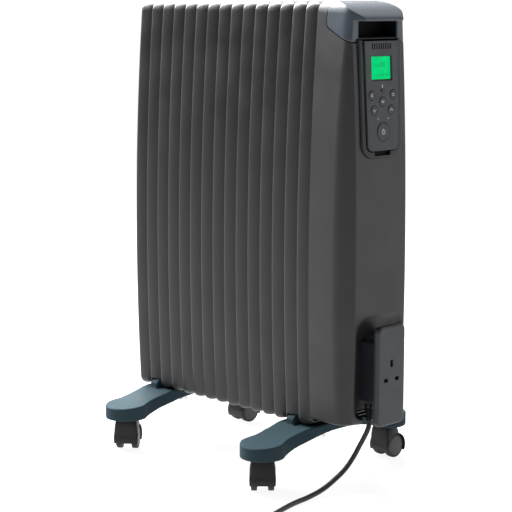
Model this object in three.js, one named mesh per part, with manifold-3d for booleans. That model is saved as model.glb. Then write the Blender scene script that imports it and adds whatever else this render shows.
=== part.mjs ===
import * as THREE from 'three';
import Module from 'manifold-3d';
import { mergeVertices } from 'three/addons/utils/BufferGeometryUtils.js';

// Portable electric column radiator: fifteen folded fins hung on an oil vessel,
// an end cover with controls and handle, two castored feet and a mains lead.
// Millimetres. +X is the control end, -Y the front, +Z up, floor at z = 0.

const wasm = await Module();
wasm.setup();

// ---- driving dimensions -------------------------------------------------
const FIN_COUNT = 15;
const FIN_PITCH = 24.4;
const FIN_START = -229;
const FIN_WALL = 1.2;
const FIN_REACH = 22;
const FIN_SETBACK = 6.2;
const BODY_BOTTOM = 84;
const BODY_TOP = 666;
const BULGE_DEPTH = 68.4;
const BULGE_RATE = 1.24e-4;
const BULGE_CENTRE = 300;
const TOP_RADIUS = 15;
const BOTTOM_RADIUS = 13;
const CHIMNEY_HALF = 24;

const COVER_START = FIN_START + FIN_COUNT * FIN_PITCH;
const COVER_WALL = 2.2;
const END_MAX = 206.7;
const END_RATE = 1.0e-4;
const END_CENTRE = 310;
const CREASE_HALF = 50.5;

const CAP_LIP_X = 208.5;
const RECESS_HALF = 38;
const RECESS_FLOOR = 617.5;
const LIP_UNDER = 640;

const PANEL_ORIGIN = [201.9, 0, 535];
const PANEL_TILT = 2.6 * Math.PI / 180;
const FASCIA_FACE = 4.6;
const BUTTON_RADIUS = 6.2;
const POWER_RADIUS = 12.2;

const WINDER_FRONT = 229;
const WINDER_THICK = 9;
const WINDER_HALF = 27.5;
const WINDER_LOW = 95;
const WINDER_HIGH = 233;

const UPPER_HEADER_Z = 610;
const UPPER_HEADER_R = 13;
const LOWER_HEADER_Z = 128;
const LOWER_HEADER_R = 16;

const FOOT_X = [-186.2, 106.6];
const FOOT_NAMES = ['left', 'right'];
const PAD_Y = 125;
const PAD_R = 31.5;
const PAD_UNDER = 50;
const PAD_TOP = 70;
const LUG_OFFSET = -7;

const WHEEL_R = 17.5;
const WHEEL_INNER = 6.8;
const WHEEL_OUTER = 16.6;
const CASTOR_TRAIL = 8;
const HOOD_R = 19.6;
const HOOD_HALF = 18.3;
const CORD_R = 3.5;
const GAP = 0.3;

// ---- materials ----------------------------------------------------------
function paint(color, roughness, metalness) {
  return new THREE.MeshStandardMaterial({ color, roughness, metalness });
}

const FIN_PAINT = paint(0x4a4a4b, 0.5, 0.25);
const BLUE_PLASTIC = paint(0x3f4a52, 0.45, 0);
const FASCIA_PLASTIC = paint(0x484b50, 0.4, 0);
const BLACK_PLASTIC = paint(0x1d1d1f, 0.5, 0);
const STEEL = paint(0x9a9c9e, 0.35, 0.9);
const BRASS = paint(0xb89a52, 0.35, 0.9);
const BOARD_GREEN = paint(0x1f5a36, 0.6, 0);
const SCREEN = paint(0x08d478, 0.2, 0);
const LENS_RED = paint(0x3a0a10, 0.15, 0);
const CORD_BLACK = paint(0x242426, 0.6, 0);
const SHIELD_METAL = paint(0xb4b6b8, 0.4, 0.8);

const group = new THREE.Group();

// ---- solid helpers ------------------------------------------------------
function toSolid(geometry) {
  const bare = geometry.clone();
  bare.deleteAttribute('normal');
  bare.deleteAttribute('uv');
  const merged = mergeVertices(bare, 1e-4);
  const index = new Uint32Array(merged.index.array);
  const points = new Float32Array(merged.attributes.position.array);
  const solid = new wasm.Manifold(new wasm.Mesh({ numProp: 3, vertProperties: points, triVerts: index }));
  if (solid.volume() > 0) return solid;
  for (let i = 0; i < index.length; i += 3) {
    [index[i], index[i + 1]] = [index[i + 1], index[i]];
  }
  return new wasm.Manifold(new wasm.Mesh({ numProp: 3, vertProperties: points, triVerts: index }));
}

function addNode(name, solid, material) {
  const result = solid.getMesh();
  const count = result.numProp;
  const points = [];
  for (let i = 0; i < result.vertProperties.length; i += count) {
    points.push(result.vertProperties[i], result.vertProperties[i + 1], result.vertProperties[i + 2]);
  }
  const geometry = new THREE.BufferGeometry();
  geometry.setAttribute('position', new THREE.Float32BufferAttribute(points, 3));
  geometry.setIndex(Array.from(result.triVerts));
  const mesh = new THREE.Mesh(geometry, material);
  mesh.name = name;
  group.add(mesh);
}

function box(x0, x1, y0, y1, z0, z1) {
  const geometry = new THREE.BoxGeometry(x1 - x0, y1 - y0, z1 - z0);
  geometry.translate((x0 + x1) / 2, (y0 + y1) / 2, (z0 + z1) / 2);
  return toSolid(geometry);
}

// Round bar along one axis, between two stations on that axis.
function bar(axis, radius, from, to, centre, segments = 16) {
  const geometry = new THREE.CylinderGeometry(radius, radius, to - from, segments);
  if (axis === 'x') geometry.rotateZ(Math.PI / 2);
  if (axis === 'z') geometry.rotateX(Math.PI / 2);
  const middle = (from + to) / 2;
  const [a, b] = centre;
  if (axis === 'x') geometry.translate(middle, a, b);
  if (axis === 'y') geometry.translate(a, middle, b);
  if (axis === 'z') geometry.translate(a, b, middle);
  return toSolid(geometry);
}

// Closed skin through rings of equal length; both end rings are capped.
function loft(rings, capAxes) {
  const size = rings[0].length;
  const points = rings.flat(2);
  const index = [];
  for (let r = 0; r < rings.length - 1; r += 1) {
    for (let i = 0; i < size; i += 1) {
      const a = r * size + i;
      const b = r * size + (i + 1) % size;
      index.push(a, b, b + size, a, b + size, a + size);
    }
  }
  const flat = (ring) => ring.map((p) => new THREE.Vector2(p[capAxes[0]], p[capAxes[1]]));
  const sameWay = THREE.ShapeUtils.isClockWise(flat(rings[0]));
  for (const [at, flip] of [[0, true], [rings.length - 1, false]]) {
    for (const [a, b, c] of THREE.ShapeUtils.triangulateShape(flat(rings[at]), [])) {
      const face = flip ? [c, b, a] : [a, b, c];
      index.push(...face.map((v) => v + at * size));
    }
  }
  const geometry = new THREE.BufferGeometry();
  geometry.setAttribute('position', new THREE.Float32BufferAttribute(points, 3));
  geometry.setIndex(index);
  if (sameWay) return toSolid(reversedCaps(geometry, (rings.length - 1) * size * 6));
  return toSolid(geometry);
}

// Turns the cap triangles of a skin over, for rings that run clockwise.
function reversedCaps(geometry, start) {
  const index = Array.from(geometry.index.array);
  for (let i = start; i < index.length; i += 3) {
    [index[i], index[i + 2]] = [index[i + 2], index[i]];
  }
  geometry.setIndex(index);
  return geometry;
}

// Flat outline swept along one axis: 'x' takes [y, z], 'y' takes [x, z], 'z' takes [x, y].
function prism(axis, outline, from, to) {
  const place = {
    x: ([a, b], s) => [s, a, b],
    y: ([a, b], s) => [a, s, b],
    z: ([a, b], s) => [a, b, s],
  }[axis];
  const axes = { x: [1, 2], y: [0, 2], z: [0, 1] }[axis];
  return loft([outline.map((p) => place(p, from)), outline.map((p) => place(p, to))], axes);
}

// Points of an arc; angles in degrees.
function arc(cx, cy, radius, from, to, steps) {
  const points = [];
  for (let i = 0; i <= steps; i += 1) {
    const t = (from + (to - from) * i / steps) * Math.PI / 180;
    points.push([cx + radius * Math.cos(t), cy + radius * Math.sin(t)]);
  }
  return points;
}

// Rectangle with rounded corners, [a, b] pairs.
function roundRect(a0, a1, b0, b1, radius, steps = 3) {
  return [
    ...arc(a1 - radius, b1 - radius, radius, 0, 90, steps),
    ...arc(a0 + radius, b1 - radius, radius, 90, 180, steps),
    ...arc(a0 + radius, b0 + radius, radius, 180, 270, steps),
    ...arc(a1 - radius, b0 + radius, radius, 270, 360, steps),
  ];
}

// Body of revolution about an axis; profile holds [radius, height] pairs.
function turned(profile, segments, axis, origin) {
  const geometry = new THREE.LatheGeometry(profile.map(([r, h]) => new THREE.Vector2(r, h)), segments);
  if (axis === 'x') geometry.rotateZ(-Math.PI / 2);
  if (axis === 'z') geometry.rotateX(Math.PI / 2);
  geometry.translate(...origin);
  return toSolid(geometry);
}

const union = (solids) => solids.reduce((a, b) => a.add(b));

// ---- body form ----------------------------------------------------------
const depthAt = (z) => BULGE_DEPTH - BULGE_RATE * (z - BULGE_CENTRE) ** 2;
const endAt = (z) => END_MAX - END_RATE * (z - END_CENTRE) ** 2;

// Half outline of a fin seen along X, from the bottom to the top, then mirrored.
function finOutline(x, inset) {
  const low = BODY_BOTTOM + BOTTOM_RADIUS;
  const high = BODY_TOP - TOP_RADIUS;
  const side = [
    ...arc(depthAt(low) - BOTTOM_RADIUS, low, BOTTOM_RADIUS - inset, -90, 0, 2),
    [depthAt(240) - inset, 240],
    [depthAt(450) - inset, 450],
    ...arc(depthAt(high) - TOP_RADIUS, high, TOP_RADIUS - inset, 0, 90, 2),
  ];
  const mirrored = side.map(([y, z]) => [-y, z]).reverse();
  return [...side, ...mirrored].map(([y, z]) => [x, y, z]);
}

// Lug of a foot that stands in the notched corner of one fin.
const lugRange = (foot) => [FOOT_X[foot] + LUG_OFFSET - 7, FOOT_X[foot] + LUG_OFFSET + 7];

function makeFin(number) {
  const x = FIN_START + number * FIN_PITCH;
  const outer = loft([
    finOutline(x, 2.4),
    finOutline(x + 2.2, 0),
    finOutline(x + 12, 1.5),
    finOutline(x + FIN_REACH, FIN_SETBACK),
  ], [1, 2]);
  const inner = loft([
    finOutline(x + FIN_WALL, 3.4),
    finOutline(x + 12, 1.5 + FIN_WALL),
    finOutline(x + FIN_REACH + 0.1, FIN_SETBACK + FIN_WALL),
  ], [1, 2]);
  let fin = outer.subtract(inner);
  for (const [z0, z1] of [[BODY_BOTTOM - 1, BODY_BOTTOM + 8], [BODY_TOP - 8, BODY_TOP + 1]]) {
    fin = fin.subtract(box(x + FIN_WALL + 1, x + FIN_REACH + 1, -CHIMNEY_HALF, CHIMNEY_HALF, z0, z1));
  }
  if (number > 0) {
    for (const [radius, z] of [[UPPER_HEADER_R, UPPER_HEADER_Z], [LOWER_HEADER_R, LOWER_HEADER_Z]]) {
      fin = fin.subtract(bar('x', radius + GAP, x - 1, x + FIN_WALL + 1, [0, z], 8));
    }
  }
  for (const foot of [0, 1]) {
    const [x0, x1] = lugRange(foot);
    if (x0 > x && x1 < x + FIN_PITCH) {
      fin = fin.subtract(box(x0 - 1, x1 + 1, -80, -50, BODY_BOTTOM - 1, 97.5));
      fin = fin.subtract(box(x0 - 1, x1 + 1, 50, 80, BODY_BOTTOM - 1, 97.5));
    }
  }
  return fin;
}

for (let i = 0; i < FIN_COUNT; i += 1) {
  addNode(`fin_${String(i + 1).padStart(2, '0')}`, makeFin(i), FIN_PAINT);
}

// ---- oil vessel: two headers joined by flat columns ---------------------
function column(number, wall) {
  const x0 = FIN_START + number * FIN_PITCH + 6.5 + wall;
  const x1 = x0 + 11 - 2 * wall;
  const half = 17 - wall;
  return box(x0, x1, -half, half, LOWER_HEADER_Z, UPPER_HEADER_Z);
}

const VESSEL_START = FIN_START + 3;
const VESSEL_END = COVER_START + 12;

function vesselForm(wall) {
  const close = wall > 0 ? 2 : 0;
  const start = VESSEL_START + close;
  const upper = bar('x', UPPER_HEADER_R - wall, start, COVER_START - 8 - close, [0, UPPER_HEADER_Z], 8);
  const lowerEnd = wall > 0 ? VESSEL_END + 1 : VESSEL_END;
  const lower = bar('x', LOWER_HEADER_R - wall, start, lowerEnd, [0, LOWER_HEADER_Z], 8);
  const columns = [];
  for (let i = 0; i < FIN_COUNT; i += 1) columns.push(column(i, wall));
  return union([upper, lower, ...columns]);
}

addNode('oil_vessel', vesselForm(0).subtract(vesselForm(1.8)), SHIELD_METAL);

// Sheathed element: screwed plug and a hairpin that lies in the lower header.
const elementPlug = bar('x', 19, VESSEL_END + GAP, VESSEL_END + 9, [0, LOWER_HEADER_Z], 6);
const elementStem = bar('x', 12.5, VESSEL_END - 14, VESSEL_END + 1, [0, LOWER_HEADER_Z], 12);
const elementLegs = [-6, 6].map((y) => bar('x', 3.4, -150, VESSEL_END - 10, [y, LOWER_HEADER_Z], 8));
const elementBend = box(-153, -147, -9.4, 9.4, LOWER_HEADER_Z - 2.4, LOWER_HEADER_Z + 2.4);
const elementTails = [-6, 6].map((y) => bar('x', 2, VESSEL_END + 5, VESSEL_END + 20, [y, LOWER_HEADER_Z], 6));
const element = union([elementPlug, elementStem, ...elementLegs, elementBend, ...elementTails]);
addNode('heating_element', element, STEEL);

// ---- end cover ----------------------------------------------------------
// Plan outline at one height: open left edge, flat front, fillet, 45 degree facet, flat end.
function coverOutline(z, inset, start, endX) {
  const front = depthAt(z) - inset;
  const end = endX - inset;
  const crease = Math.min(CREASE_HALF - (endX - endAt(z)), depthAt(z) - 1.2) - inset;
  const run = front - crease;
  const tangent = Math.min(9.1, 0.8 * run);
  const corner = end - run;
  const d = tangent * Math.SQRT1_2;
  const half = [[start, front], [corner - tangent, front]];
  const from = new THREE.Vector2(corner - tangent, front);
  const mid = new THREE.Vector2(corner, front);
  const to = new THREE.Vector2(corner + d, front - d);
  const curve = new THREE.QuadraticBezierCurve(from, mid, to);
  for (const t of [0.33, 0.67, 1]) {
    const p = curve.getPoint(t);
    half.push([p.x, p.y]);
  }
  half.push([end, crease]);
  const other = half.map(([x, y]) => [x, -y]).reverse();
  return [...half, ...other].map(([x, y]) => [x, y, z]);
}

const PLAIN_LEVELS = [101, 180, 260, 340, 420, 500, 580, 612];
const COVER_LEVELS = [[97, 4], ...PLAIN_LEVELS.map((z) => [z, 0])];
const TOP_LEVELS = [[651, 0], [658.5, 2], [663.5, 6.7], [666, 13]];
const INNER_LEVELS = [99.2, 180, 260, 340, 420, 500, 580, 612];
const INNER_TOP = [[649, 0], [656.5, 2], [661.5, 6.7], [663.8, 13]];

const coverOuter = loft([...COVER_LEVELS, ...TOP_LEVELS]
  .map(([z, inset]) => coverOutline(z, inset, COVER_START, endAt(z))), [0, 1]);
const coverInner = loft([
  ...INNER_LEVELS.map((z) => coverOutline(z, COVER_WALL, COVER_START - 6, endAt(z))),
  ...INNER_TOP.map(([z, inset]) => coverOutline(z, inset + COVER_WALL, COVER_START - 6, endAt(z))),
], [0, 1]);

// Side view of the part of the body that the handle cap takes over.
const CAP_SEAM = [[154.3, 636], [154.3, 654], [157.5, 660], [163, 668], [230, 668], [230, 606.5],
  [205, 609.5], [186, 616], [165.6, 627], [157.5, 631]];
const CAP_TOP = [[140, 666.4], [154, 666.4], [164, 665.7], [174, 663.4], [184, 659.5], [192, 655.3],
  [199, 650.8], [204.5, 646.9], [207.4, 644.2], [208.3, 642], [209, 600], [140, 600]];
const CAP_TOP_INNER = [[130, 664.2], [153.6, 664.2], [163.4, 663.5], [173.2, 661.2], [183, 657.4],
  [190.8, 653.3], [197.5, 649], [197.5, 600], [130, 600]];

// Control panel frame: local x is outward, local y across, local z up the face.
const panelMatrix = new THREE.Matrix4()
  .makeRotationY(-PANEL_TILT)
  .setPosition(...PANEL_ORIGIN);
const onPanel = (solid) => solid.transform(Array.from(panelMatrix.elements));

const panelOutline = (grow) => [
  [41.5 + grow, 81 + grow], [-41.5 - grow, 81 + grow],
  ...arc(-18, -54, 22 + grow, 190, 260, 4).map(([y, z]) => [y, z]),
  ...arc(18, -54, 22 + grow, 280, 350, 4).map(([y, z]) => [y, z]),
];
const fasciaOutline = (grow) => [
  [33 + grow, 79 + grow], [-33 - grow, 79 + grow],
  ...arc(-20.5, -56.5, 10 + grow, 180, 270, 3),
  ...arc(20.5, -56.5, 10 + grow, 270, 360, 3),
];

// Cord pocket: a scoop in the end face, wide at the face and sloping in at the top.
function pocketForm(grow) {
  const wide = roundRect(-44 - grow, 44 + grow, 104 - grow, 243 + grow, 16 + grow, 3);
  const deep = roundRect(-39 - grow, 39 + grow, 107 - grow, 214 + grow, 12 + grow, 3);
  return loft([
    deep.map(([y, z]) => [189 - grow, y, z]),
    wide.map(([y, z]) => [206.7, y, z]),
    wide.map(([y, z]) => [216, y, z]),
  ], [1, 2]);
}

const capSolidSeam = prism('y', CAP_SEAM, -80, 80);
const coverSeamCut = prism('y', CAP_SEAM.map(([x, z]) => [
  x < 200 ? x - 0.3 : x,
  z < 640 ? z - 0.3 : z,
]), -80, 80);

let cover = coverOuter.subtract(coverInner);
cover = cover.add(pocketForm(COVER_WALL).intersect(coverOuter));
cover = cover.subtract(pocketForm(0));
cover = cover.subtract(coverSeamCut);
cover = cover.subtract(onPanel(prism('x', panelOutline(GAP), -12, 20)));
cover = cover.subtract(box(184, 216, -26, -6, 95, 112));
for (const x of [148, 160, 172]) {
  cover = cover.subtract(box(x, x + 5, -34, 34, 95, 101));
}
addNode('end_cover', cover, FIN_PAINT);

// Sheet shield that closes the cover towards the fins.
const shieldSide = [101.5, 180, 260, 340, 420, 500, 580, 645].map((z) => [depthAt(z) - COVER_WALL - 1, z]);
const shieldOutline = [
  [40, 100.5],
  ...shieldSide,
  [38, 661],
  [-38, 661],
  ...shieldSide.map(([y, z]) => [-y, z]).reverse(),
  [-40, 100.5],
];
const shield = prism('x', shieldOutline, COVER_START + 3, COVER_START + 4)
  .subtract(bar('x', LOWER_HEADER_R + 0.6, COVER_START, COVER_START + 8, [0, LOWER_HEADER_Z], 12));
addNode('heat_shield', shield, SHIELD_METAL);

// ---- handle cap with hand recess under a lip ----------------------------
const capLevels = [[600, 0], [612, 0], ...TOP_LEVELS];
const capOuter = loft(capLevels.map(([z, inset]) => coverOutline(z, inset, COVER_START, CAP_LIP_X)), [0, 1]);
const capInner = loft([[590, 0], [612, 0], ...INNER_TOP]
  .map(([z, inset]) => coverOutline(z, inset + COVER_WALL, COVER_START - 6, endAt(610))), [0, 1]);
const capForm = capOuter
  .intersect(capSolidSeam)
  .intersect(prism('y', CAP_TOP, -80, 80))
  .subtract(box(endAt(625), 220, -80, 80, 590, LIP_UNDER));
const capHollow = capInner.intersect(prism('y', CAP_TOP_INNER, -80, 80));
const recessWalls = box(168, endAt(625), -RECESS_HALF - 2, RECESS_HALF + 2, RECESS_FLOOR - 2, LIP_UNDER + 2);
const cap = capForm.subtract(capHollow)
  .add(recessWalls.intersect(capForm))
  .subtract(box(170, 216, -RECESS_HALF, RECESS_HALF, RECESS_FLOOR, LIP_UNDER))
  .subtract(onPanel(prism('x', panelOutline(GAP), -12, 20)));
addNode('handle_cap', cap, BLUE_PLASTIC);

// ---- control panel ------------------------------------------------------
const surround = prism('x', panelOutline(0), -3.6, 2.6)
  .subtract(prism('x', fasciaOutline(2.2), -5, 5))
  .subtract(box(-5, 5, -35, 35, 70, 90))
  .subtract(box(-5, 5, -15, 15, -74.5, -60));
addNode('control_surround', onPanel(surround), BLUE_PLASTIC);

const BUTTONS = [
  { name: 'button_mode', y: -20.9, z: 7.3, r: BUTTON_RADIUS },
  { name: 'button_set', y: 20.9, z: 7.3, r: BUTTON_RADIUS },
  { name: 'button_menu', y: 0, z: -1.4, r: BUTTON_RADIUS },
  { name: 'button_down', y: -16.8, z: -12.7, r: BUTTON_RADIUS },
  { name: 'button_up', y: 16.8, z: -12.7, r: BUTTON_RADIUS },
  { name: 'button_power', y: 0, z: -41.5, r: POWER_RADIUS },
];
let fascia = prism('x', fasciaOutline(0), FASCIA_FACE - 3, FASCIA_FACE);
fascia = fascia.subtract(box(0, 9, -19.5, 19.5, 28.3, 58.3));
fascia = fascia.subtract(bar('x', 3.3 + GAP, 0, 9, [0, 12.9], 10));
for (const { y, z, r } of BUTTONS) fascia = fascia.subtract(bar('x', r + 0.5, 0, 9, [y, z], 12));
for (let i = 0; i < 9; i += 1) {
  const y = (i - 4) * 4.4;
  fascia = fascia.subtract(box(0, 9, y - 1.1, y + 1.1, 67.6, 76));
}
addNode('control_fascia', onPanel(fascia), FASCIA_PLASTIC);

// Each button is a capped pin with a flange that stays behind the fascia.
for (const { name, y, z, r } of BUTTONS) {
  const back = FASCIA_FACE - 3 - GAP;
  const profile = [[0, back - 2], [r + 1.3, back - 2], [r + 1.3, back], [r, back], [r, FASCIA_FACE + 0.5],
    [r - 0.7, FASCIA_FACE + 1.1], [0, FASCIA_FACE + 1.1]];
  addNode(name, onPanel(turned(profile, 12, 'x', [0, y, z])), FASCIA_PLASTIC);
}

addNode('display_screen', onPanel(box(-1.6, 1.2, -21.5, 21.5, 26.5, 60.5)), SCREEN);
const lensProfile = [[0, -0.8], [4.6, -0.8], [4.6, 1.2], [3.3, 1.2], [3.3, 4.8], [0, 4.8]];
addNode('signal_window', onPanel(turned(lensProfile, 10, 'x', [0, 0, 12.9])), LENS_RED);

// Circuit board with one switch block behind each button and two larger parts at its back.
const boardParts = [box(-6.2, -4.6, -30, 30, -58, 70)];
for (const { y, z } of BUTTONS) boardParts.push(box(-4.7, -2.2, y - 3, y + 3, z - 3, z + 3));
boardParts.push(box(-20, -6.1, -22, -4, -50, -26));
boardParts.push(box(-24, -6.1, 4, 26, -48, -14));
addNode('control_board', onPanel(union(boardParts)), BOARD_GREEN);

// Over-temperature cut-out on the shield and a tilt switch low in the cover.
const cutout = turned([[0, 0], [9, 0], [9, 6], [5, 9], [0, 9]], 12, 'x', [COVER_START + 4.3, 26, 300])
  .add(box(COVER_START + 12, COVER_START + 20, 20, 23, 297, 303))
  .add(box(COVER_START + 12, COVER_START + 20, 29, 32, 297, 303));
addNode('thermal_cutout', cutout, STEEL);
addNode('tilt_switch', box(COVER_START + 4.5, COVER_START + 22, -56, -38, 150, 176), BLACK_PLASTIC);

// ---- cord winder with parking slots for the plug ------------------------
const winderMid = (WINDER_LOW + WINDER_HIGH) / 2;
const winderPlate = loft([
  [WINDER_FRONT - WINDER_THICK, 0, 8],
  [WINDER_FRONT - 2, 0, 8],
  [WINDER_FRONT, 2, 6.5],
].map(([x, inset, radius]) => roundRect(-WINDER_HALF + inset, WINDER_HALF - inset,
  WINDER_LOW + inset, WINDER_HIGH - inset, radius, 3).map(([y, z]) => [x, y, z])), [1, 2]);
let winder = winderPlate.add(box(189.3, WINDER_FRONT - WINDER_THICK + 1, -20, 20, 124, 212));
winder = winder.subtract(box(188, 203, -17.5, 17.5, 126.5, 209.5));
winder = winder.subtract(box(205, 231, -2.4, 2.4, winderMid + 17 - 4.6, winderMid + 17 + 4.6));
for (const y of [-11.1, 11.1]) {
  winder = winder.subtract(box(209, 231, y - 3.6, y + 3.6, winderMid - 5.2 - 2.4, winderMid - 5.2 + 2.4));
}
addNode('cord_winder', winder, BLUE_PLASTIC);

// ---- feet ---------------------------------------------------------------
const footPlanHalf = [
  ...arc(0, PAD_Y, PAD_R, 90, -20, 6),
  [23, 96], [24, 80], [29, 62], [30, 40], [30, 0],
];
const footRight = [...footPlanHalf, ...footPlanHalf.slice(0, -1).map(([x, y]) => [x, -y]).reverse()];
const footLeftHalf = [...arc(0, PAD_Y, PAD_R, 90, 190, 6), [-32, 90], [-31, 60], [-30, 0]];
const footLeft = [...footLeftHalf, ...footLeftHalf.slice(0, -1).map(([x, y]) => [x, -y]).reverse()];
const footPlan = [...footRight.slice(0, -1), ...[...footLeft].reverse().slice(0, -1)];
const footSideHalf = [[160, PAD_TOP - 2], [150, PAD_TOP - 0.5], [110, PAD_TOP + 1.5], [84, 76.5], [66, 81.5],
  [58, 83.7]];
const archHalf = [[0, 72], [30, 70.8], [52, 67.4], [76, 60.6], [94, 54.4], [104, 51], [112, PAD_UNDER],
  [160, PAD_UNDER]];
const footSide = [
  ...archHalf,
  ...footSideHalf,
  ...footSideHalf.map(([y, z]) => [-y, z]).reverse(),
  ...archHalf.slice(1).map(([y, z]) => [-y, z]).reverse(),
];
const hookX = (foot) => FOOT_X[foot] + 2.9;
const HOOK_R = 2.4;
const HOOK_Y = LOWER_HEADER_R + GAP + HOOK_R;

function makeFoot(foot) {
  const x = FOOT_X[foot];
  const plan = prism('z', footPlan.map(([a, b]) => [x + a, b]), 40, 100);
  let solid = plan.intersect(prism('x', footSide, x - 60, x + 60));
  const [x0, x1] = lugRange(foot);
  for (const side of [-1, 1]) {
    const lugOutline = [[51, 78], [66, 78], [66, 91], [60, 96.5], [51, 96.5]].map(([y, z]) => [side * y, z]);
    const lug = prism('x', lugOutline, x0, x1);
    solid = solid.add(lug);
    solid = solid.subtract(bar('z', 5.5 + GAP, 49, 64, [x, side * PAD_Y], 12));
  }
  return solid.subtract(bar('z', HOOK_R + GAP, 60, 100, [hookX(foot), -HOOK_Y], 8));
}

// Hook bolt: a shank beside the lower header that bends over its top.
function makeHook(foot) {
  const path = new THREE.CurvePath();
  const x = hookX(foot);
  const shankLow = new THREE.Vector3(x, -HOOK_Y, 58.5);
  const shankHigh = new THREE.Vector3(x, -HOOK_Y, LOWER_HEADER_Z);
  path.add(new THREE.LineCurve3(shankLow, shankHigh));
  const turn = arc(0, LOWER_HEADER_Z, HOOK_Y, 180, 0, 8).map(([y, z]) => new THREE.Vector3(x, y, z));
  for (let i = 0; i < turn.length - 1; i += 1) path.add(new THREE.LineCurve3(turn[i], turn[i + 1]));
  const tip = turn[turn.length - 1];
  path.add(new THREE.LineCurve3(tip, new THREE.Vector3(x, tip.y, LOWER_HEADER_Z - 6)));
  return sweep(path.curves.map((c) => c.v1).concat([path.curves[path.curves.length - 1].v2]), HOOK_R, 8);
}

// Round bar through a run of points, with a mitred ring at each point.
function sweep(points, radius, sides) {
  const rings = [];
  let side = null;
  for (let i = 0; i < points.length; i += 1) {
    const before = points[Math.max(i - 1, 0)];
    const after = points[Math.min(i + 1, points.length - 1)];
    const along = after.clone().sub(before).normalize();
    if (side === null) {
      const pick = Math.abs(along.z) > 0.9 ? new THREE.Vector3(1, 0, 0) : new THREE.Vector3(0, 0, 1);
      side = pick.cross(along).normalize();
    }
    side = side.sub(along.clone().multiplyScalar(side.dot(along))).normalize();
    const up = along.clone().cross(side);
    const ring = [];
    for (let k = 0; k < sides; k += 1) {
      const t = 2 * Math.PI * k / sides;
      const p = points[i].clone()
        .addScaledVector(side, radius * Math.cos(t))
        .addScaledVector(up, radius * Math.sin(t));
      ring.push([p.x, p.y, p.z]);
    }
    rings.push(ring);
  }
  return ringSkin(rings);
}

// Skin over round rings, closed at both ends with a fan from the ring centre.
function ringSkin(rings) {
  const sides = rings[0].length;
  const points = rings.flat(2);
  const index = [];
  for (let r = 0; r < rings.length - 1; r += 1) {
    for (let k = 0; k < sides; k += 1) {
      const a = r * sides + k;
      const b = r * sides + (k + 1) % sides;
      index.push(a, b, b + sides, a, b + sides, a + sides);
    }
  }
  const last = (rings.length - 1) * sides;
  for (let k = 1; k < sides - 1; k += 1) {
    index.push(0, k + 1, k);
    index.push(last, last + k, last + k + 1);
  }
  const geometry = new THREE.BufferGeometry();
  geometry.setAttribute('position', new THREE.Float32BufferAttribute(points, 3));
  geometry.setIndex(index);
  return toSolid(geometry);
}

for (const foot of [0, 1]) {
  const label = FOOT_NAMES[foot];
  addNode(`foot_${label}`, makeFoot(foot), BLUE_PLASTIC);
  addNode(`foot_hook_${label}`, makeHook(foot), STEEL);
  const bore = HOOK_R + 0.5;
  const ring = [[bore, 62.5], [6, 62.5], [7.5, 65], [7.5, 68.8], [bore, 68.8], [bore, 62.5]];
  const nut = turned(ring, 12, 'z', [0, 0, 0]);
  const wings = box(-13, 13, -1.6, 1.6, 58.6, 66).subtract(bar('z', bore, 50, 80, [0, 0], 12));
  const placed = nut.add(wings).translate([hookX(foot), -HOOK_Y, 1.6]);
  addNode(`foot_nut_${label}`, placed, STEEL);
}

// ---- castors ------------------------------------------------------------
// Built with the axle along local X, wheels trailing along local +Y, then swung round the stem.
const FENDER = [
  ...arc(0, 0, HOOD_R, 208, -20, 9),
  ...arc(0, 0, WHEEL_R + 1.1, -20, 208, 8),
];

// Half of the hood's barrel outline seen along Y, and the neck between fender and foot.
const HOOD_SIDE = [[15.6, 0], [17.8, 9], [HOOD_HALF, 18], [18, 29], [16.8, 39], [14.8, 49.2]];
const HOOD_FRONT = [...HOOD_SIDE, ...HOOD_SIDE.map(([a, b]) => [-a, b]).reverse()];
const NECK_LEVELS = [[17.5, 18, -11.5, 16.5], [40, 17, -11, 15], [49.2, 15, -9, 11]];

function makeHood() {
  const at = (points) => points.map(([a, b]) => [CASTOR_TRAIL - a, b + WHEEL_R]);
  const fender = prism('x', at(FENDER), -HOOD_HALF, HOOD_HALF);
  const web = arc(0, 0, WHEEL_R + 1.5, 208, -20, 8).concat([[4, -5], [-4, -7]]);
  const rib = prism('x', at(web), -2.4, 2.4);
  const neck = loft(NECK_LEVELS.map(([z, half, front, back]) => roundRect(-half, half, front, back, 4)
    .map(([a, b]) => [a, b, z])), [0, 1]);
  const stem = bar('z', 5.5, 45, 63.6, [0, 0], 12);
  const clear = bar('x', WHEEL_R + 1, -20, 20, [CASTOR_TRAIL, WHEEL_R], 12)
    .subtract(box(-2.4, 2.4, -60, 60, -20, 60));
  const axle = bar('x', 2.5, -17.6, 17.6, [CASTOR_TRAIL, WHEEL_R], 10);
  const barrel = prism('y', HOOD_FRONT, -30, 40);
  return union([fender, rib, neck]).subtract(clear).intersect(barrel).add(stem).add(axle);
}

function makeWheel(side) {
  const bore = 2.9;
  const profile = [[bore, WHEEL_INNER], [WHEEL_R, WHEEL_INNER], [WHEEL_R, WHEEL_OUTER - 3],
    [WHEEL_R - 1.4, WHEEL_OUTER - 1.3], [WHEEL_R - 4, WHEEL_OUTER - 0.4], [8, WHEEL_OUTER],
    [bore, WHEEL_OUTER], [bore, WHEEL_INNER]];
  const ordered = side > 0 ? profile : profile.map(([r, h]) => [r, -h]);
  return turned(ordered, 16, 'x', [0, CASTOR_TRAIL, WHEEL_R]);
}

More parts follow.
